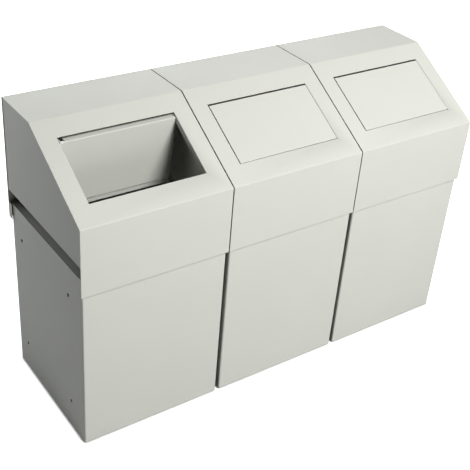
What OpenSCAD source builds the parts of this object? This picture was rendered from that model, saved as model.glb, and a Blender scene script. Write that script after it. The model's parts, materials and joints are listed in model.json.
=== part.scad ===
// Row of three linked litter bins in folded, powder-coated sheet steel.
// Each bin is a base casing with a lift-out liner and a lift-off hood with a
// flap in its sloping face. Millimetres, Z up, front faces -Y, and the origin
// is on the floor under the middle of the row.

/* [Row] */
// Distance from one bin to the next
pitch = 400; // [330:1:480]
// Gap between neighbouring hoods
hood_gap = 3; // [1:0.5:6]
// Depth of the hood from front to back
depth = 400; // [330:1:480]
// Height of the whole bin above the floor
height = 780; // [640:1:940]

/* [Hood] */
// Thickness of the folded steel sheet
sheet = 1.5; // [1:0.1:2]
// Inner radius of the folds in the hood
fold_r = 1; // [0.5:0.1:2]
// Height of the hood, from the lower edge of its skirts to its top
hood_h = 327; // [310:1:345]
// Depth of the sloping face, from the hood's front
slope_run = 248; // [240:1:270]
// Rise of the sloping face
slope_rise = 147; // [130:1:180]
// Height of the side panels' lower edge above that of the skirts
side_lift = 78; // [70:1:90]
// Distance of the side panels inside the edge of the folded sheet
side_recess = 1.5; // [0:0.1:2]
// Width of the ledge folded in along the foot of each side panel
side_ledge = 20; // [17:1:30]
// How far the ledge ends short of the front and back skirts
ledge_end_gap = 8; // [4:1:20]
// Width of the corner wings folded forward from the back skirt
wing_w = 18; // [10:1:30]

/* [Inlet and flap] */
// Width of the inlet
inlet_w = 303; // [240:1:320]
// Length of the inlet along the slope
inlet_l = 178; // [140:1:185]
// Distance along the slope from the front fold to the inlet
inlet_low = 56; // [40:1:60]
// Depth of the returns folded in along the sides of the inlet
return_d = 14; // [13:1:25]
// Gap between the flap and the sides and foot of the inlet
flap_gap = 1.5; // [1:0.1:3]
// Gap between the flap and the top of the inlet
flap_top_gap = 3.5; // [3:0.1:6]
// Depth of the flange folded in along the top of the flap
flap_flange = 17; // [12:0.5:18]
// Length of the stop lip along the foot of the flap
lip_l = 15; // [6:1:20]
// Depth of the step between the face of the flap and its stop lip
lip_step = 4; // [2.6:0.1:5]
// Inner radius of the folds in the flap
flap_fold_r = 0.5; // [0.4:0.1:0.6]
// How far the flap of the left bin hangs open, in degrees
left_flap_open = 65; // [0:1:90]

/* [Flap hinge] */
// Radius of the hinge rod
rod_r = 2; // [1.5:0.1:2.3]
// Running clearance round the hinge rod
rod_play = 0.05; // [0.02:0.01:0.1]
// Depth of the rod's axis below the sloping face
rod_depth = 9; // [8:0.5:10]
// Distance of the rod's axis below the top edge of the flap
rod_drop = 4; // [3.9:0.1:5]
// Radius of the flap's ears round the rod
ear_r = 5.5; // [4:0.5:7]
// How far the rod stands out past the inlet's returns
rod_overhang = 4; // [3:0.5:8]
// Radius of the push-on clips at the rod's ends
clip_r = 5; // [4:0.5:5]
// Thickness of the push-on clips
clip_t = 1; // [0.5:0.1:1.5]

/* [Flap spring] */
// Radius of the spring wire
wire_r = 0.6; // [0.4:0.1:0.7]
// Clearance between the coil and the hinge rod
coil_play = 0.5; // [0.3:0.1:0.6]
// Number of turns in the coil
coil_turns = 4; // [3:1:7]
// Distance between neighbouring turns
coil_pitch = 1.5; // [1.5:0.1:1.8]
// Distance of the coil from the end of the flap
coil_end_gap = 5; // [5:1:20]
// Clearance between the ends of the coil and the flap
notch_gap = 1; // [0.8:0.1:4]
// Length of the spring leg that lies on the flap
flap_leg = 26; // [15:1:40]
// Length of the spring leg that bears under the hood
hood_leg = 14; // [12:1:25]

/* [Base casing] */
// Distance of the base side below the hood's outer side
side_inset = 4; // [3:0.5:7]
// Distance of the base front behind the hood's front
front_inset = 5; // [4:0.5:10]
// Distance of the base back in front of the hood's back
back_inset = 10; // [5:0.5:20]
// How far the hood's skirts reach down over the base casing
hood_lap = 43; // [35:1:55]
// Height of the bottom edge of the base casing
base_bottom = 3; // [2:0.5:6]
// Inner radius of the folds in the base casing
casing_fold_r = 2.5; // [1:0.5:4]
// Width of the returns folded in along the back of the casing
back_return = 15; // [13:1:30]
// Clearance between the back panel and the casing's folds
panel_gap = 0.5; // [0.2:0.1:2]
// Height of the upturned edge of the floor pan
pan_h = 20; // [10:1:40]
// Outer corner radius of the parts that stand inside the casing
inner_corner_r = 4; // [4:0.5:8]

/* [Collar] */
// Width of the collar's shelf, from the inside of the casing to the collar's wall
shelf_w = 23; // [18:1:26]
// Width of the collar's top rim, folded outward under the hood's ledges
collar_rim = 14; // [12:1:18]
// Height of the collar's skirt, fixed inside the casing
collar_skirt = 15; // [10:1:20]
// Depth of the collar's shelf below the top edge of the casing
shelf_drop = 3; // [1:0.5:10]

/* [Liner] */
// Thickness of the liner's sheet
liner_t = 1; // [0.8:0.1:1.5]
// Clearance between the liner's hem and the collar's wall
liner_play = 3; // [2:0.5:8]
// Height of the liner's top edge above that of the casing
liner_stand = 4; // [-10:1:20]
// Outer corner radius of the liner
liner_corner_r = 14; // [6:1:30]
// Height of the hem round the liner's top edge
hem_h = 12; // [6:1:20]
// Length of the hand holes in the liner
grip_l = 100; // [80:1:130]
// Height of the hand holes in the liner
grip_h = 28; // [22:1:36]
// Distance from the liner's top edge to its hand holes
grip_drop = 26; // [20:1:45]

/* [Feet] */
// Radius of each foot's pad
foot_r = 12; // [8:0.5:13]
// Distance from the inside of the casing to the middle of each foot
foot_inset = 15; // [14:0.5:16]
// Radius of the stem that holds each foot in the floor pan
foot_stem_r = 3.5; // [2:0.5:4]
// Clearance round each stem in its hole
stem_play = 0.05; // [0.02:0.01:0.2]
// Radius of the head above the floor pan
foot_head_r = 5.5; // [5:0.5:6]
// Height of the head above the floor pan
foot_head_h = 2.5; // [1:0.5:4]

/* [Links between bins] */
// Height of the lower link holes
link_z = 85; // [70:1:110]
// Distance from the casing's top edge down to the upper link holes
link_drop = 83; // [60:1:120]
// Distance from the hood's front to the front link holes
link_front = 78; // [60:1:100]
// Distance from the hood's back to the rear link holes
link_back = 62; // [50:1:90]
// Radius of the link holes
link_hole_r = 5; // [4.5:0.1:6]
// Radius of the link bolts
bolt_r = 4; // [3:0.1:4.2]
// Clearance round the link bolts in their washers, nuts and spacers
bolt_play = 0.3; // [0.2:0.1:0.4]
// Radius of the washers and spacers
washer_r = 8; // [7:0.5:12]
// Thickness of the washers
washer_t = 1.6; // [1:0.1:2]
// Width across the flats of the bolt heads and nuts
hex_flats = 13; // [12:0.5:14]
// Height of the bolt heads
bolt_head_h = 5.3; // [4:0.1:6]
// Height of the nuts
nut_h = 6.5; // [5:0.1:7]
// Length of bolt that stands out past its nut
bolt_end = 3; // [1:0.5:4]

/* [Rivets] */
// Radius of the rivet shanks
rivet_r = 2; // [1.5:0.1:2.4]
// Clearance round the rivet shanks
rivet_play = 0.1; // [0.05:0.05:0.2]
// Radius of the rivet heads
rivet_head_r = 4; // [3.5:0.1:4.5]
// Height of the rivet heads
rivet_head_h = 1.2; // [0.8:0.1:2]
// Radius of the rivets' collapsed tails
rivet_tail_r = 3; // [2.5:0.1:3.5]
// Number of rivets down each edge of the back panel
rivet_rows = 4; // [2:1:6]
// Height of the first rivets above the floor pan, and of the collar above the last ones
rivet_gap = 20; // [10:1:80]

/* [Hidden] */
$fn = 48;
eps = 0.01;
over = 1;
bend_steps = 6;
wire_sides = 6;
coil_steps = 12;

SIDES = ["left", "middle", "right"];
PIECES = [
    "base_casing", "base_back", "back_rivets", "floor_pan", "feet", "collar", "liner",
    "hood_cover", "hood_left_side", "hood_right_side", "flap", "hinge_rod", "rod_clips"
];
SPRUNG = ["middle", "right"];
LINKS = ["left_link", "right_link"];
LINK_PIECES = ["bolts", "nuts", "washers", "spacers"];

paint = [0.83, 0.84, 0.80];
zinc = [0.62, 0.64, 0.66];
bright = [0.75, 0.76, 0.78];
plastic = [0.12, 0.12, 0.13];

// Hood
hood_w = pitch - hood_gap;
front_y = -depth / 2;
back_y = depth / 2;
top_fold_y = front_y + slope_run;
front_fold_z = height - slope_rise;
slope_deg = atan2(slope_rise, slope_run);
skirt_z = height - hood_h;
side_z = skirt_z + side_lift;
side_x = hood_w / 2 - side_recess;
side_foot = 3 * (sheet + fold_r);

// Inlet, flap and hinge, along the slope from the front fold
inlet_high = inlet_low + inlet_l;
flap_top = inlet_high - flap_top_gap;
flap_foot = inlet_low + flap_gap;
flap_w = inlet_w - 2 * flap_gap;
rod_y = flap_top - rod_drop;
rod_l = inlet_w + 2 * (sheet + rod_overhang);
inlet_fold = fold_r + sheet + over;

// Flap spring
coil_r = rod_r + coil_play + wire_r;
coil_l = coil_turns * coil_pitch;
coil_x = -flap_w / 2 + coil_end_gap;
notch_w = coil_l + 2 * (wire_r + notch_gap);
leg_gap = 0.1;

// Base casing and the room inside it
base_w = hood_w - 2 * side_inset;
base_top = skirt_z + hood_lap;
base_front = front_y + front_inset;
base_back_y = back_y - back_inset;
room_w = base_w - 2 * sheet;
room_front = base_front + sheet;
room_back = base_back_y - 2 * sheet;
pan_top = base_bottom + sheet;

// Collar
wall_w = room_w - 2 * shelf_w;
wall_front = room_front + shelf_w;
wall_back = room_back - shelf_w;
shelf_z = base_top - shelf_drop;
mouth_w = wall_w - 2 * sheet;
mouth_front = wall_front + sheet;
mouth_back = wall_back - sheet;

// Liner
hem_t = liner_t;
liner_w = mouth_w - 2 * (liner_play + hem_t);
liner_front = mouth_front + liner_play + hem_t;
liner_back = mouth_back - liner_play - hem_t;
liner_top = base_top + liner_stand;
grip_cut = 4 * liner_t;

// Links
link_gap = pitch - base_w;
hex_r = hex_flats / 2 / cos(30);
bolt_l = link_gap + 2 * sheet + 2 * washer_t + nut_h + bolt_end;

function bin_x(bin) = (bin - 1) * pitch;
function unit(v) = v / norm(v);
function left_of(v) = [-v.y, v.x];
function turned(v, deg) = [v.x * cos(deg) - v.y * sin(deg), v.x * sin(deg) + v.y * cos(deg)];
function turns_left(a, b) = a.x * b.y - a.y * b.x > 0;
function heading(path, i) = unit(path[i + 1] - path[i]);

// Round stretch at corner p of an outline that runs along a and then along b
function round_corner(p, a, b, r) =
    let (
        side = turns_left(a, b) ? 1 : -1,
        angle = acos(a * b),
        start = p - a * r * tan(angle / 2),
        centre = start + side * r * left_of(a)
    )
    [for (k = [0:bend_steps]) centre + turned(start - centre, side * angle * k / bend_steps)];

// Path with its corners rounded, to near_r where it turns left and far_r where it turns right
function rounded(path, near_r, far_r) = [
    path[0],
    for (i = [1:len(path) - 2])
        let (a = heading(path, i - 1), b = heading(path, i))
        each round_corner(path[i], a, b, turns_left(a, b) ? near_r : far_r),
    path[len(path) - 1]
];

// Path moved to its left by t
function shifted(path, t) = [
    for (i = [0:len(path) - 1])
        let (
            a = left_of(heading(path, max(i - 1, 0))),
            b = left_of(heading(path, min(i, len(path) - 2)))
        )
        path[i] + t * (a + b) / (1 + a * b)
];

function reversed(points) = [for (i = [len(points) - 1:-1:0]) points[i]];

// Section of a folded sheet: path follows its outer face, with the steel on the left
module folded(path, t, r) {
    polygon(concat(rounded(path, r + t, r), reversed(rounded(shifted(path, t), r, r + t))));
}

// Extrudes a Y-Z outline along X, centred
module across(w) {
    rotate([90, 0, 90])
        linear_extrude(w, center = true)
            children();
}

// Frame of the sloping face: Y runs up the slope from the front fold, and Z points out of it
module on_slope() {
    translate([0, front_y, front_fold_z])
        rotate([slope_deg, 0, 0])
            children();
}

module at_bin(bin) {
    translate([bin_x(bin), 0, 0])
        children();
}

module mirror_x() {
    children();
    mirror([1, 0, 0])
        children();
}

// Block with rounded upright edges, centred in X, from y0 to y1 and from z0 to z1
module room_block(w, y0, y1, z0, z1, r) {
    translate([-w / 2 + r, y0, z0])
        cube([w - 2 * r, y1 - y0, z1 - z0]);
    translate([-w / 2, y0 + r, z0])
        cube([w, y1 - y0 - 2 * r, z1 - z0]);
    for (x = [-w / 2 + r, w / 2 - r], y = [y0 + r, y1 - r])
        translate([x, y, z0])
            cylinder(h = z1 - z0, r = r);
}

// Upright band of the same plan, t thick
module room_band(w, y0, y1, z0, z1, r, t) {
    difference() {
        room_block(w, y0, y1, z0, z1, r);
        room_block(w - 2 * t, y0 + t, y1 - t, z0 - over, z1 + over, r - t);
    }
}

// Cylinder along X from x0
module bar(x0, l, r, sides = 0) {
    translate([x0, 0, 0])
        rotate([0, 90, 0])
            cylinder(h = l, r = r, $fn = sides > 0 ? sides : $fn);
}

module at_link_holes() {
    for (y = [front_y + link_front, back_y - link_back], z = [link_z, base_top - link_drop])
        translate([0, y, z])
            children();
}

// Front and sides of the base, folded from one sheet, with returns along the back
module base_casing() {
    side = base_w / 2;
    path = [
        [side - back_return, base_back_y], [side, base_back_y], [side, base_front],
        [-side, base_front], [-side, base_back_y], [-side + back_return, base_back_y]
    ];
    color(paint)
        difference() {
            translate([0, 0, base_bottom])
                linear_extrude(base_top - base_bottom)
                    folded(reversed(path), sheet, casing_fold_r);
            at_link_holes()
                mirror_x()
                    bar(side - sheet - over, sheet + 2 * over, link_hole_r);
            at_rivets()
                rotate([90, 0, 0])
                    cylinder(h = sheet + 2 * over, r = rivet_r + rivet_play, center = true);
        }
}

// Places in the middle of the casing's rear returns where the back panel is riveted
module at_rivets() {
    x = (base_w - back_return) / 2;
    low = base_bottom + pan_h + rivet_gap;
    high = shelf_z - collar_skirt - rivet_gap;
    for (row = [0:rivet_rows - 1])
        mirror_x()
            translate([x, base_back_y - sheet / 2, low + (high - low) * row / (rivet_rows - 1)])
                children();
}

// Flat back panel, riveted inside the casing's returns
module base_back() {
    w = base_w - 2 * (sheet + casing_fold_r + panel_gap);
    color(paint)
        difference() {
            translate([-w / 2, room_back, base_bottom])
                cube([w, sheet, base_top - base_bottom]);
            at_rivets()
                translate([0, -sheet, 0])
                    rotate([90, 0, 0])
                        cylinder(h = sheet + 2 * over, r = rivet_r + rivet_play, center = true);
        }
}

// Blind rivets with a domed head outside and a collapsed tail inside
module back_rivets() {
    grip = 2 * sheet;
    color(bright)
        at_rivets()
            translate([0, sheet / 2, 0])
                rotate([90, 0, 0]) {
                    translate([0, 0, -eps])
                        cylinder(h = grip + 2 * eps, r = rivet_r);
                    rotate([180, 0, 0])
                        cylinder(h = rivet_head_h, r1 = rivet_head_r, r2 = rivet_r);
                    translate([0, 0, grip])
                        cylinder(h = rivet_head_h, r = rivet_tail_r);
                }
}

module at_feet() {
    for (x = [-room_w / 2 + foot_inset, room_w / 2 - foot_inset],
         y = [room_front + foot_inset, room_back - foot_inset])
        translate([x, y, 0])
            children();
}

// Tray that closes the foot of the casing
module floor_pan() {
    color(paint)
        difference() {
            room_block(room_w, room_front, room_back, base_bottom, base_bottom + pan_h, inner_corner_r);
            room_block(
                room_w - 2 * sheet, room_front + sheet, room_back - sheet,
                pan_top, base_bottom + pan_h + over, inner_corner_r - sheet
            );
            at_feet()
                cylinder(h = pan_top + over, r = foot_stem_r + stem_play);
        }
}

// Push-in glides: pad below the pan, stem through it and head above it
module feet() {
    color(plastic)
        at_feet() {
            cylinder(h = base_bottom, r = foot_r);
            cylinder(h = pan_top + eps, r = foot_stem_r);
            translate([0, 0, pan_top])
                cylinder(h = foot_head_h, r = foot_head_r);
        }
}

// Ring inside the casing's top: skirt, shelf, wall and the outward rim that carries the hood
module collar() {
    rim_w = wall_w + 2 * collar_rim;
    rim_front = wall_front - collar_rim;
    rim_back = wall_back + collar_rim;
    color(paint) {
        room_band(
            room_w, room_front, room_back, shelf_z - collar_skirt, shelf_z, inner_corner_r, sheet
        );
        room_ring(
            room_w, room_front, room_back, mouth_w, mouth_front, mouth_back, shelf_z - sheet
        );
        room_band(wall_w, wall_front, wall_back, shelf_z - sheet, side_z, inner_corner_r, sheet);
        room_ring(rim_w, rim_front, rim_back, mouth_w, mouth_front, mouth_back, side_z - sheet);
    }
}

// Flat ring of sheet from one plan to a smaller one inside it, with its underside at z
module room_ring(w, y0, y1, hole_w, hole_y0, hole_y1, z) {
    difference() {
        room_block(w, y0, y1, z, z + sheet, inner_corner_r);
        room_block(
            hole_w, hole_y0, hole_y1, z - over, z + sheet + over, inner_corner_r - sheet
        );
    }
}

// Lift-out container with a hem and two hand holes
module liner() {
    grip_z = liner_top - grip_drop - grip_h / 2;
    color(zinc)
        difference() {
            union() {
                room_block(liner_w, liner_front, liner_back, pan_top, liner_top, liner_corner_r);
                room_block(
                    liner_w + 2 * hem_t, liner_front - hem_t, liner_back + hem_t,
                    liner_top - hem_h, liner_top, liner_corner_r + hem_t
                );
            }
            room_block(
                liner_w - 2 * liner_t, liner_front + liner_t, liner_back - liner_t,
                pan_top + liner_t, liner_top + over, liner_corner_r - liner_t
            );
            mirror_x()
                translate([0, (liner_front + liner_back) / 2, grip_z]) {
                    for (y = [-1, 1])
                        translate([0, y * (grip_l - grip_h) / 2, 0])
                            bar((liner_w - grip_cut) / 2, grip_cut, grip_h / 2);
                    translate([(liner_w - grip_cut) / 2, -(grip_l - grip_h) / 2, -grip_h / 2])
                        cube([grip_cut, grip_l - grip_h, grip_h]);
                }
        }
}

// Outer face of the hood's folded sheet, from the back skirt over the top to the front skirt
hood_path = [
    [back_y, skirt_z], [back_y, height], [top_fold_y, height], [front_y, front_fold_z], [front_y, skirt_z]
];

// Skirts, top and sloping face of the hood, folded from one sheet round the inlet
module hood_cover() {
    color(paint) {
        difference() {
            across(hood_w)
                folded(hood_path, sheet, fold_r);
            on_slope()
                translate([-inlet_w / 2 - inlet_fold, inlet_low, -2 * sheet])
                    cube([inlet_w + 2 * inlet_fold, inlet_l, 3 * sheet]);
        }
        mirror_x() {
            inlet_return();
            translate([hood_w / 2 - sheet, back_y - wing_w, skirt_z])
                cube([sheet, wing_w, base_top - skirt_z]);
        }
    }
}

// Return folded in along one side of the inlet, drilled for the hinge rod
module inlet_return() {
    side = inlet_w / 2;
    on_slope()
        difference() {
            translate([0, inlet_high, 0])
                rotate([90, 0, 0])
                    linear_extrude(inlet_l)
                        folded([[side + inlet_fold, 0], [side, 0], [side, -return_d]], sheet, fold_r);
            translate([0, rod_y, -rod_depth])
                bar(side - over, sheet + 2 * over, rod_r + rod_play);
        }
}

// Side panel inside the folded sheet, with a ledge along its foot that sits on the collar
module hood_side() {
    inner = shifted(hood_path, sheet);
    outline = [
        [back_y - sheet, side_z], inner[1], inner[2], inner[3], [front_y + sheet, side_z]
    ];
    ledge = [[side_x - side_ledge, side_z], [side_x, side_z], [side_x, side_z + side_foot]];
    color(paint) {
        difference() {
            translate([side_x - sheet / 2, 0, 0])
                across(sheet)
                    polygon(rounded(outline, fold_r, fold_r));
            translate([side_x - 2 * sheet, front_y + ledge_end_gap, side_z - over])
                cube([3 * sheet, depth - 2 * ledge_end_gap, side_foot + over]);
        }
        translate([0, back_y - ledge_end_gap, 0])
            rotate([90, 0, 0])
                linear_extrude(depth - 2 * ledge_end_gap)
                    folded(ledge, sheet, fold_r);
    }
}

// Pan flap with a flange along its top, a stepped stop lip along its foot and an ear at each end
module flap(open) {
    path = [
        [flap_top, -flap_flange], [flap_top, 0], [flap_foot, 0],
        [flap_foot, -lip_step], [flap_foot - lip_l, -lip_step]
    ];
    color(paint)
        on_slope()
            translate([0, rod_y, -rod_depth])
                rotate([open, 0, 0])
                    difference() {
                        union() {
                            translate([0, -rod_y, rod_depth])
                                across(flap_w)
                                    folded(path, sheet, flap_fold_r);
                            mirror_x()
                                flap_ear();
                        }
                        bar(-flap_w, 2 * flap_w, rod_r + rod_play);
                        flap_notch();
                    }
}

// Notch in the flap's flange that leaves room for the spring, in the frame of the rod
module flap_notch() {
    low = rod_depth - flap_flange - over;
    translate([coil_x + (coil_l - notch_w) / 2, rod_drop - 2 * sheet, low])
        cube([notch_w, 3 * sheet, rod_depth - 2 * sheet - low]);
}

// Ear at the right end of the flap, in the frame of the rod
module flap_ear() {
    x = flap_w / 2 - sheet;
    bar(x, sheet, ear_r);
    translate([x, -ear_r, 0])
        cube([sheet, ear_r + rod_drop - sheet, rod_depth - sheet]);
}

module hinge_rod() {
    color(bright)
        on_slope()
            translate([0, rod_y, -rod_depth])
                bar(-rod_l / 2, rod_l, rod_r);
}

// Push-on clips that keep the rod in the inlet's returns
module rod_clips() {
    color(bright)
        on_slope()
            translate([0, rod_y, -rod_depth])
                mirror_x()
                    difference() {
                        bar(inlet_w / 2 + sheet, clip_t, clip_r);
                        bar(inlet_w / 2, 3 * sheet, rod_r + rod_play);
                    }
}

// Middle line of the torsion spring, in the frame of the rod
coil_path = [
    for (k = [0:coil_turns * coil_steps])
        let (a = 360 * k / coil_steps)
        [coil_x + coil_pitch * k / coil_steps, coil_r * sin(a), coil_r * cos(a)]
];
leg_rest = rod_depth - sheet - wire_r - leg_gap;
spring_path = concat(
    [[coil_x, -flap_leg, leg_rest]],
    coil_path,
    [[coil_x + coil_l, hood_leg, leg_rest]]
);

function wire_ring(path, i) =
    let (
        along = unit(path[min(i + 1, len(path) - 1)] - path[max(i - 1, 0)]),
        across = unit(cross([1, 0, 0], along)),
        third = cross(along, across)
    )
    [for (k = [0:wire_sides - 1])
        path[i] + wire_r * (cos(360 * k / wire_sides) * third + sin(360 * k / wire_sides) * across)];

// Round wire along a path that runs nearly at right angles to X
module wire(path) {
    last = len(path) - 1;
    points = [for (i = [0:last]) each wire_ring(path, i)];
    sides = [
        for (i = [0:last - 1], k = [0:wire_sides - 1])
            let (a = i * wire_sides + k, b = i * wire_sides + (k + 1) % wire_sides)
            each [[a, a + wire_sides, b], [b, a + wire_sides, b + wire_sides]]
    ];
    start_cap = [for (k = [0:wire_sides - 1]) k];
    end_cap = [for (k = [wire_sides - 1:-1:0]) last * wire_sides + k];
    polyhedron(points, concat([start_cap], sides, [end_cap]));
}

// Torsion spring round the rod: one leg on the flap, the other under the hood's sloping face
module flap_spring() {
    color(bright)
        on_slope()
            translate([0, rod_y, -rod_depth])
                wire(spring_path);
}

// Inner face of the right-hand side of the bin to the left of a link
module at_link(link) {
    translate([bin_x(link) + base_w / 2 - sheet, 0, 0])
        at_link_holes()
            children();
}

module link_bolts() {
    color(bright) {
        bar(-washer_t - bolt_head_h, bolt_head_h, hex_r, 6);
        bar(-washer_t - eps, bolt_l + eps, bolt_r);
    }
}

module link_washers() {
    color(bright)
        for (x = [-washer_t, link_gap + 2 * sheet])
            difference() {
                bar(x, washer_t, washer_r);
                bar(x - over, washer_t + 2 * over, bolt_r + bolt_play);
            }
}

module link_nuts() {
    x = link_gap + 2 * sheet + washer_t;
    color(bright)
        difference() {
            bar(x, nut_h, hex_r, 6);
            bar(x - over, nut_h + 2 * over, bolt_r + bolt_play);
        }
}

module link_spacers() {
    color(bright)
        difference() {
            bar(sheet, link_gap, washer_r);
            bar(sheet - over, link_gap + 2 * over, bolt_r + bolt_play);
        }
}

for (bin = [0:len(SIDES) - 1]) {
    side = SIDES[bin];
    at_bin(bin) base_casing();
    at_bin(bin) base_back();
    at_bin(bin) back_rivets();
    at_bin(bin) floor_pan();
    at_bin(bin) feet();
    at_bin(bin) collar();
    at_bin(bin) liner();
    at_bin(bin) hood_cover();
    at_bin(bin) mirror([1, 0, 0]) hood_side();
    at_bin(bin) hood_side();
    at_bin(bin) flap(bin == 0 ? left_flap_open : 0);
    at_bin(bin) hinge_rod();
    at_bin(bin) rod_clips();
}

for (bin = [1:len(SPRUNG)])
    at_bin(bin) flap_spring();

for (link = [0:len(LINKS) - 1]) {
    name = LINKS[link];
    at_link(link) link_bolts();
    at_link(link) link_nuts();
    at_link(link) link_washers();
    at_link(link) link_spacers();
}
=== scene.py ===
import json
import math

import bmesh
import bpy
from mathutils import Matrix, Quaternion, Vector

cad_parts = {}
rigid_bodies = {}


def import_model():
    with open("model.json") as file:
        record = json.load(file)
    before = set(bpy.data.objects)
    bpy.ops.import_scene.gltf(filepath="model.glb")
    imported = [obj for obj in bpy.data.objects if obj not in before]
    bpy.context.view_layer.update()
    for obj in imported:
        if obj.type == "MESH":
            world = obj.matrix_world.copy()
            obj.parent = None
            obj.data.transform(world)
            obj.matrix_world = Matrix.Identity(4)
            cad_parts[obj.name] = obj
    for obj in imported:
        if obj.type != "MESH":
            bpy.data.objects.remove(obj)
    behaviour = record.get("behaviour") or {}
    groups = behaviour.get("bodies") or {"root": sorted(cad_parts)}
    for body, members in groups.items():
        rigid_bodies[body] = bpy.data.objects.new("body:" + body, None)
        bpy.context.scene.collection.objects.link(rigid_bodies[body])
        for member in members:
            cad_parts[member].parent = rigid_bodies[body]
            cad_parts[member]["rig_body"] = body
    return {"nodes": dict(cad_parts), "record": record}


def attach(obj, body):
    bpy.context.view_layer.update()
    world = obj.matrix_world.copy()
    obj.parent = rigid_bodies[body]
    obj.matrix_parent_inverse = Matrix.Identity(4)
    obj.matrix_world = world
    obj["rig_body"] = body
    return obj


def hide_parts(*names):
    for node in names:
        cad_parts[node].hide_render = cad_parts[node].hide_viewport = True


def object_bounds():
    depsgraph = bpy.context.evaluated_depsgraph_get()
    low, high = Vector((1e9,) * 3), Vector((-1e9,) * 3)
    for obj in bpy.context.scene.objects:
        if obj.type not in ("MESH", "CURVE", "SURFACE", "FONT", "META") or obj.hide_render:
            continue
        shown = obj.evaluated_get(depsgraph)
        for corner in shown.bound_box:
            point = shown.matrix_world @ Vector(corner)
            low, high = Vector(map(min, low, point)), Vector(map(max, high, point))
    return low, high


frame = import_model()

# Camera, seen from the middle of the row, and where it aims from there
CAMERA_AZIMUTH = math.radians(-37.84)
CAMERA_ELEVATION = math.radians(31.25)
CAMERA_DISTANCE = 2.524
CAMERA_ROLL = math.radians(4.85)
CAMERA_AIM = Vector((-0.040, -0.006, -0.0466))
SENSOR_MM = 36
LENS_MM = 70.58

WARM, COOL, NEUTRAL = (1.0, 1.0, 0.955), (0.98, 1.0, 1.0), (1.0, 1.0, 1.0)
# Soft lights: name, shape, size, watts, place from the middle of the row, what it faces, tint
LIGHTS = [
    ("key", "DISK", (1.3, 1.3), 53, (0.6, -2.3, 2.1), (0, 0, 0), WARM),
    ("high_key", "DISK", (1.6, 1.6), 83, (0.8, -3.0, 3.2), (0, 0, 0), WARM),
    ("front", "RECTANGLE", (3.0, 1.0), 13, (0.6, -3.2, 0.15), (0, 0, -0.2), NEUTRAL),
    ("back", "RECTANGLE", (4.5, 2.4), 106, (1.0, 3.0, 0.9), (1.0, 0, 0.9), COOL),
    ("top", "RECTANGLE", (3.0, 3.0), 12, (1.6, 0.8, 2.6), (0.4, 0, 0), NEUTRAL),
    ("rear_left", "RECTANGLE", (1.0, 1.4), 19, (-1.6, 2.0, 0.5), (-0.6, 0, 0.1), COOL),
]
# Strength of the surroundings, as a light and to the eye
FILL = 0.004
BACKDROP = 1.0

# The floor's half width, and its grey as it lights the bins and as the eye sees it
FLOOR_HALF = 20
FLOOR_LIT_GREY = 0.42
FLOOR_SEEN_GREY = 0.93
# Strength of the floor's own glow to the eye, and how near a piece has to be for a painted contact shadow
# to darken it
FLOOR_GLOW = 0.9
CONTACT_SHADOW_REACH = 0.01

# How near other steel has to be for painted shade to darken a spot, and the rays that find it
PAINTED_SHADE_REACH = 0.1
NEARNESS_RAYS = 8

# Colours, and for a mottled finish its darkest and lightest
COAT_COLOUR = (0.715, 0.722, 0.688)
DUST_COLOUR = (0.42, 0.39, 0.33)
RUBBED_COLOUR = (0.33, 0.33, 0.31)
SPANGLE_COLOURS = (0.42, 0.44, 0.46), (0.62, 0.64, 0.66)
PLATE_COLOURS = (0.46, 0.47, 0.49), (0.56, 0.55, 0.51)
PLASTIC_COLOURS = (0.02, 0.02, 0.022), (0.035, 0.035, 0.036)

# How far the splashes reach up from the floor
SPLASH_HEIGHT = 0.06

# How far cut edges are rounded over, by material slot, and in how many facets
EDGE_ROUND = {"paint": 0.00035, "zinc": 0.0002, "fastener": 0.0002, "foot": 0.0004}
EDGE_FACETS = 2
# Edges shorter than this stay sharp on the side panels, where the folds' small facets meet
SHORT_EDGE = 0.0008
SHORT_EDGE_PIECES = ("hood_left_side", "hood_right_side")

# Corners this close together are one corner
MERGE = 1e-6
# Faces this near to one plane are one face
FLAT = math.radians(1)
# Edges sharper than this are cut edges or folds, and the rest are facets of a curve
CREASE = math.radians(30)
# How far larger faces outweigh smaller ones in the shading: 50 is neutral and 100 is the most
FLAT_FACE_WEIGHT = 100

WIRE_PIECE = "flap_spring"
RIVET_PIECE = "back_rivets"
# A blind rivet from its pulled tail to its domed head: radius, then distance from the tail's end
RIVET_PROFILE = [
    (0.0, 0.0), (0.0012, 0.0), (0.0022, 0.0001), (0.0028, 0.0004), (0.003, 0.0008), (0.003, 0.0012),
    (0.002, 0.0012), (0.002, 0.0042),
    (0.004, 0.0042), (0.0039, 0.0045), (0.0034, 0.0049), (0.0026, 0.0052), (0.0018, 0.0054),
    (0.0012, 0.0054), (0.0011, 0.0053), (0.001, 0.0048), (0.0, 0.0048),
]
RIVET_LENGTH = max(along for radius, along in RIVET_PROFILE)
RIVET_SIDES = 32


# ---------------------------------------------------------------- materials

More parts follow.
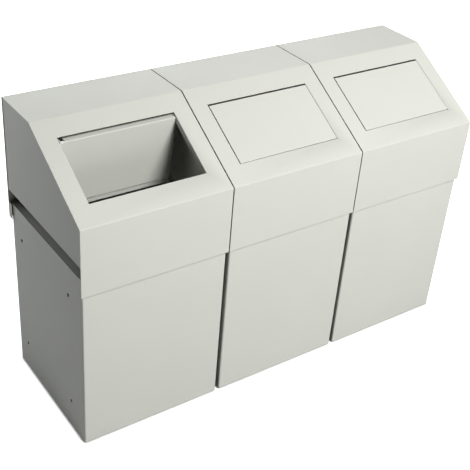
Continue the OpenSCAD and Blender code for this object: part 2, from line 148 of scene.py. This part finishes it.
class Recipe:
    """One procedural material, built node by node round a Principled shader."""

    def __init__(self, name):
        self.material = bpy.data.materials.new(name)
        self.material.use_nodes = True
        self.tree = self.material.node_tree
        self.shader = self.tree.nodes["Principled BSDF"]
        self.place = self.node("ShaderNodeTexCoord").outputs["Object"]

    def node(self, kind, sockets=None, **settings):
        made = self.tree.nodes.new(kind)
        for key, value in settings.items():
            setattr(made, key, value)
        for key, value in (sockets or {}).items():
            self.put(made.inputs[key], value)
        return made

    def put(self, socket, value):
        """Links another node's output to the socket, or sets its value."""
        if isinstance(value, bpy.types.NodeSocket):
            self.tree.links.new(value, socket)
        else:
            socket.default_value = value

    def noise(self, scale, detail=2.0, rough=0.5, stretch=None):
        """Noise from 0 to 1, scale features per metre, stretched along the axes if asked."""
        place = self.place
        if stretch:
            place = self.node("ShaderNodeMapping", {"Vector": place, "Scale": stretch}).outputs[0]
        sockets = {"Vector": place, "Scale": scale, "Detail": detail, "Roughness": rough}
        return self.node("ShaderNodeTexNoise", sockets).outputs[0]

    def ranged(self, value, old, new=(0.0, 1.0)):
        """The value mapped from the old range to the new one, and held to it."""
        sockets = {0: value, 1: old[0], 2: old[1], 3: new[0], 4: new[1]}
        return self.node("ShaderNodeMapRange", sockets).outputs[0]

    def math(self, operation, a, b):
        return self.node("ShaderNodeMath", {0: a, 1: b}, operation=operation).outputs[0]

    def height_of(self, direction):
        """The upward part of a place or a direction."""
        return self.node("ShaderNodeSeparateXYZ", {0: direction}).outputs[2]

    def mix(self, factor, a, b, blend="MIX"):
        """Mixes two colours."""
        made = self.node("ShaderNodeMix", data_type="RGBA", blend_type=blend)
        self.put(made.inputs[0], factor)
        self.put(made.inputs[6], a)
        self.put(made.inputs[7], b)
        return made.outputs[2]

    def mottled(self, tone, colours):
        """Mixes from the darker of a pair of colours to the lighter."""
        return self.mix(tone, rgba(colours[0]), rgba(colours[1]))

    def bump(self, height, distance, onto=None):
        sockets = {"Height": height, "Distance": distance, "Strength": 1.0}
        if onto:
            sockets["Normal"] = onto
        return self.node("ShaderNodeBump", sockets).outputs[0]

    def openness(self, reach):
        """How open each spot is to what lies within reach: 0 is closed in, 1 is free."""
        made = self.node("ShaderNodeAmbientOcclusion", {"Distance": reach}, samples=NEARNESS_RAYS)
        return made.outputs["AO"]

    def with_painted_shade(self, colour, darkest):
        """The colour with painted shade: darker deep in slots, gaps and closed corners, where shade
        falls.
        """
        unshaded_share = self.ranged(self.openness(PAINTED_SHADE_REACH), old=(0.05, 0.5))
        shaded = self.mix(1.0, colour, rgba((darkest, darkest, darkest)), "MULTIPLY")
        return self.mix(unshaded_share, shaded, colour)

    def finish(self, colour, roughness, normal):
        self.put(self.shader.inputs["Base Color"], colour)
        self.put(self.shader.inputs["Roughness"], roughness)
        self.put(self.shader.inputs["Normal"], normal)
        return self.material


def rgba(colour, share=1.0):
    return (*(share * part for part in colour), 1.0)


def grey(level):
    return rgba((level, level, level))


def powder_coat():
    """Light grey fine-textured powder coat on folded steel."""
    r = Recipe("powder_coat")
    cloud = r.ranged(r.noise(scale=4.0, detail=3.0), old=(0.3, 0.7))
    colour = r.mix(cloud, rgba(COAT_COLOUR, share=0.985), rgba(COAT_COLOUR, share=1.015))
    speck = r.ranged(r.noise(scale=1500.0, detail=1.0), old=(0.35, 0.65), new=(0.0, 0.5))
    colour = r.mix(speck, colour, rgba(COAT_COLOUR, share=0.95))

    # a little dust lies on faces that look up, and the foot is splashed
    facing = r.height_of(r.node("ShaderNodeTexCoord").outputs["Normal"])
    patches = r.noise(scale=35.0, detail=5.0, rough=0.7)
    settled = r.math("MULTIPLY", r.ranged(facing, old=(0.6, 1.0)), patches)
    low_down = r.ranged(r.height_of(r.place), old=(0.0, SPLASH_HEIGHT), new=(0.5, 0.0))
    drops = r.ranged(r.noise(scale=60.0, detail=5.0, rough=0.7), old=(0.4, 0.7))
    splashed = r.math("MULTIPLY", low_down, drops)
    dust = r.math("MULTIPLY", r.math("MAXIMUM", settled, splashed), 0.06)
    colour = r.mix(dust, colour, rgba(DUST_COLOUR))

    # a painted highlight lightens the cut edges, and the coat rubs dark in a few places there
    edge = r.node("ShaderNodeAttribute", attribute_name="edge").outputs["Fac"]
    worn = r.ranged(r.noise(scale=55.0, detail=4.0, rough=0.7), old=(0.60, 0.72), new=(0.0, 0.5))
    colour = r.mix(r.math("MULTIPLY", edge, 0.5), colour, rgba(COAT_COLOUR, share=1.05))
    colour = r.mix(r.math("MULTIPLY", edge, worn), colour, rgba(RUBBED_COLOUR))

    # hairline scuffs, long and faint
    lines = r.noise(scale=9.0, detail=6.0, rough=0.75, stretch=(1.0, 1.0, 24.0))
    scuff = r.ranged(lines, old=(0.70, 0.78), new=(0.0, 0.35))
    colour = r.mix(r.math("MULTIPLY", scuff, 0.25), colour, rgba(COAT_COLOUR, share=0.82))

    sheen = r.ranged(r.noise(scale=9.0, detail=4.0), old=(0.3, 0.7), new=(0.42, 0.52))
    roughness = r.math("ADD", sheen, r.math("MULTIPLY", settled, 0.15))
    waves = r.bump(r.noise(scale=3.0, detail=1.0), distance=0.002)
    peel = r.bump(r.noise(scale=420.0, detail=2.0), distance=0.00004, onto=waves)
    grain = r.bump(r.noise(scale=1400.0, detail=1.0), distance=0.000012, onto=peel)
    r.shader.inputs["Specular IOR Level"].default_value = 0.4
    # painted shade darkens the coat in slots, gaps and closed corners
    return r.finish(r.with_painted_shade(colour, darkest=0.25), roughness, grain)


def galvanised():
    """Hot-dip galvanised sheet with its spangle."""
    r = Recipe("galvanised")
    cells = r.node("ShaderNodeTexVoronoi", {"Vector": r.place, "Scale": 90.0}, feature="F1")
    tone = r.node("ShaderNodeSeparateColor", {0: cells.outputs["Color"]}).outputs[0]
    # painted shade darkens the spangle in slots, gaps and closed corners
    colour = r.with_painted_shade(r.mottled(tone, SPANGLE_COLOURS), darkest=0.25)
    roughness = r.ranged(tone, old=(0.0, 1.0), new=(0.35, 0.55))
    r.shader.inputs["Metallic"].default_value = 1.0
    return r.finish(colour, roughness, r.bump(r.noise(scale=400.0), distance=0.00002))


def zinc_plate():
    """Zinc plating on the fasteners, rods, clips and springs."""
    r = Recipe("zinc_plate")
    tone = r.ranged(r.noise(scale=120.0), old=(0.35, 0.65))
    # painted shade darkens the plating in slots, gaps and closed corners
    colour = r.with_painted_shade(r.mottled(tone, PLATE_COLOURS), darkest=0.15)
    roughness = r.ranged(r.noise(scale=300.0, detail=3.0), old=(0.3, 0.7), new=(0.42, 0.58))
    r.shader.inputs["Metallic"].default_value = 1.0
    return r.finish(colour, roughness, r.bump(r.noise(scale=1500.0), distance=0.00001))


def moulded_plastic():
    """Black moulded polyethylene of the glides."""
    r = Recipe("moulded_plastic")
    colour = r.mottled(r.noise(scale=200.0), PLASTIC_COLOURS)
    roughness = r.ranged(r.noise(scale=350.0), old=(0.3, 0.7), new=(0.5, 0.65))
    return r.finish(colour, roughness, r.bump(r.noise(scale=900.0), distance=0.00003))


# ------------------------------------------------------------------- pieces

def dressed(piece, material):
    piece.data.materials.clear()
    piece.data.materials.append(material)


def merged(node):
    """A CAD node's own shape to work on, with the corners that its triangles share made one."""
    mesh = bmesh.new()
    mesh.from_mesh(frame["nodes"][node].data)
    bmesh.ops.remove_doubles(mesh, verts=mesh.verts, dist=MERGE)
    return mesh


def placed(mesh, node, slot):
    """Lets a mesh stand for a CAD node, smoothly shaded, on the same body and dressed in the same slot's
    material.
    """
    data = bpy.data.meshes.new(node + "_finished")
    mesh.to_mesh(data)
    mesh.free()
    for polygon in data.polygons:
        polygon.use_smooth = True
    piece = bpy.data.objects.new(node + "_finished", data)
    bpy.context.scene.collection.objects.link(piece)
    dressed(piece, materials[slot])
    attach(piece, frame["nodes"][node]["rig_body"])
    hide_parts(node)
    return piece


def keep_flat(piece):
    """Lets flat faces shade flat right up to their rounded edges."""
    weights = piece.modifiers.new("flat_faces", "WEIGHTED_NORMAL")
    weights.weight = FLAT_FACE_WEIGHT


def softened(node, slot):
    """The node's own shape with its cut edges rounded, as the coating or the tooling leaves them."""
    shortest = SHORT_EDGE if node.endswith(SHORT_EDGE_PIECES) else 0.0
    mesh = merged(node)
    bmesh.ops.dissolve_limit(mesh, angle_limit=FLAT, verts=mesh.verts, edges=mesh.edges)
    edge = mesh.faces.layers.float.new("edge")
    sharp = [
        line for line in mesh.edges
        if line.is_manifold and line.calc_face_angle() > CREASE and line.calc_length() > shortest
    ]
    rounds = bmesh.ops.bevel(
        mesh, geom=sharp, offset=EDGE_ROUND[slot], offset_type="OFFSET", segments=EDGE_FACETS,
        profile=0.5, affect="EDGES", clamp_overlap=False,
    )
    for face in rounds["faces"]:
        face[edge] = 1.0
    keep_flat(placed(mesh, node, slot))


def round_wire(node, slot):
    """The spring with its wire made round: the faceted wire's triangles paired up and subdivided."""
    mesh = merged(node)
    bmesh.ops.join_triangles(
        mesh, faces=mesh.faces, angle_face_threshold=CREASE, angle_shape_threshold=CREASE,
    )
    rounding = placed(mesh, node, slot).modifiers.new("round", "SUBSURF")
    rounding.levels = rounding.render_levels = 1


def solids(node):
    """Low and high corners of each separate solid in a node."""
    mesh = merged(node)
    waiting = set(mesh.verts)
    boxes = []
    while waiting:
        front = [waiting.pop()]
        low, high = front[0].co.copy(), front[0].co.copy()
        while front:
            vertex = front.pop()
            low = Vector(map(min, low, vertex.co))
            high = Vector(map(max, high, vertex.co))
            for line in vertex.link_edges:
                other = line.other_vert(vertex)
                if other in waiting:
                    waiting.remove(other)
                    front.append(other)
        boxes.append((low, high))
    mesh.free()
    return boxes


def domed_rivets(node, slot):
    """Blind rivets with domed heads behind the bin and pulled tails inside it."""
    mesh = bmesh.new()
    for low, high in solids(node):
        tail = Vector(((low.x + high.x) / 2, low.y, (low.z + high.z) / 2))
        stretch = (high.y - low.y) / RIVET_LENGTH
        ring = [
            mesh.verts.new(tail + Vector((radius, along * stretch, 0)))
            for radius, along in RIVET_PROFILE
        ]
        lines = [mesh.edges.new(pair) for pair in zip(ring, ring[1:])]
        bmesh.ops.spin(
            mesh, geom=ring + lines, cent=tail, axis=(0, 1, 0), angle=2 * math.pi,
            steps=RIVET_SIDES, use_merge=True,
        )
    bmesh.ops.remove_doubles(mesh, verts=mesh.verts, dist=MERGE)
    bmesh.ops.recalc_face_normals(mesh, faces=mesh.faces)
    keep_flat(placed(mesh, node, slot))


# -------------------------------------------------------------------- stage

def floor():
    """White floor: to the eye it burns out like the studio's, except for a painted contact shadow right
    against the bins.
    """
    near, far = -FLOOR_HALF, FLOOR_HALF
    data = bpy.data.meshes.new("floor")
    data.from_pydata([(near, near, 0), (far, near, 0), (far, far, 0), (near, far, 0)], [], [(0, 1, 2, 3)])
    piece = bpy.data.objects.new("floor", data)
    bpy.context.scene.collection.objects.link(piece)
    r = Recipe("floor_white")
    r.shader.inputs["Specular IOR Level"].default_value = 0.0
    sight = r.node("ShaderNodeLightPath").outputs["Is Camera Ray"]
    colour = r.mix(sight, grey(FLOOR_LIT_GREY), grey(FLOOR_SEEN_GREY))
    # painted contact shadow: the glow to the eye fades where pieces close in on the floor
    glow = r.ranged(r.openness(CONTACT_SHADOW_REACH), old=(0.5, 0.9), new=(0.0, FLOOR_GLOW))
    r.put(r.shader.inputs["Emission Color"], grey(1.0))
    r.put(r.shader.inputs["Emission Strength"], r.math("MULTIPLY", sight, glow))
    dressed(piece, r.finish(colour, 1.0, r.bump(r.noise(scale=30.0), distance=0.0001)))


def area_light(centre, name, shape, size, power, place, target, tint):
    light = bpy.data.lights.new(name, "AREA")
    light.shape = shape
    light.size, light.size_y = size
    light.energy = power
    light.color = tint
    lamp = bpy.data.objects.new(name, light)
    bpy.context.scene.collection.objects.link(lamp)
    lamp.location = centre + Vector(place)
    lamp.rotation_mode = "QUATERNION"
    lamp.rotation_quaternion = (Vector(target) - Vector(place)).to_track_quat("-Z", "Y")
    lamp.visible_camera = False


def studio(centre):
    """White surroundings for the eye, a faint fill, and the soft lights."""
    world = bpy.data.worlds.new("studio")
    bpy.context.scene.world = world
    world.use_nodes = True
    nodes, links = world.node_tree.nodes, world.node_tree.links
    sight = nodes.new("ShaderNodeLightPath").outputs["Is Camera Ray"]
    strength = nodes.new("ShaderNodeMapRange")
    links.new(sight, strength.inputs[0])
    strength.inputs[3].default_value = FILL
    strength.inputs[4].default_value = BACKDROP
    nodes["Background"].inputs["Color"].default_value = grey(1.0)
    links.new(strength.outputs[0], nodes["Background"].inputs["Strength"])
    for light in LIGHTS:
        area_light(centre, *light)


def camera(centre):
    """Camera at the photograph's viewing angle, from the middle of the row."""
    flat = math.cos(CAMERA_ELEVATION)
    back = Vector((
        math.sin(CAMERA_AZIMUTH) * flat, -math.cos(CAMERA_AZIMUTH) * flat, math.sin(CAMERA_ELEVATION),
    ))
    place = centre + back * CAMERA_DISTANCE
    sight = (centre + CAMERA_AIM - place).to_track_quat("-Z", "Y")
    data = bpy.data.cameras.new("camera")
    data.sensor_width = SENSOR_MM
    data.lens = LENS_MM
    made = bpy.data.objects.new("camera", data)
    bpy.context.scene.collection.objects.link(made)
    made.location = place
    made.rotation_mode = "QUATERNION"
    made.rotation_quaternion = sight @ Quaternion((0, 0, 1), CAMERA_ROLL)
    bpy.context.scene.camera = made


# ------------------------------------------------------------------ the row

cad_low, cad_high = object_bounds()
middle = (cad_low + cad_high) / 2
bpy.context.scene.view_settings.view_transform = "Standard"

materials = {
    "paint": powder_coat(),
    "zinc": galvanised(),
    "fastener": zinc_plate(),
    "foot": moulded_plastic(),
}
slots = {part["node"]: part["material_slot"] for part in frame["record"]["subparts"]}
for node, piece in frame["nodes"].items():
    dressed(piece, materials[slots[node]])

for node, slot in slots.items():
    if node.endswith(WIRE_PIECE):
        round_wire(node, slot)
    elif node.endswith(RIVET_PIECE):
        domed_rivets(node, slot)
    else:
        softened(node, slot)

floor()
studio(middle)
camera(middle)
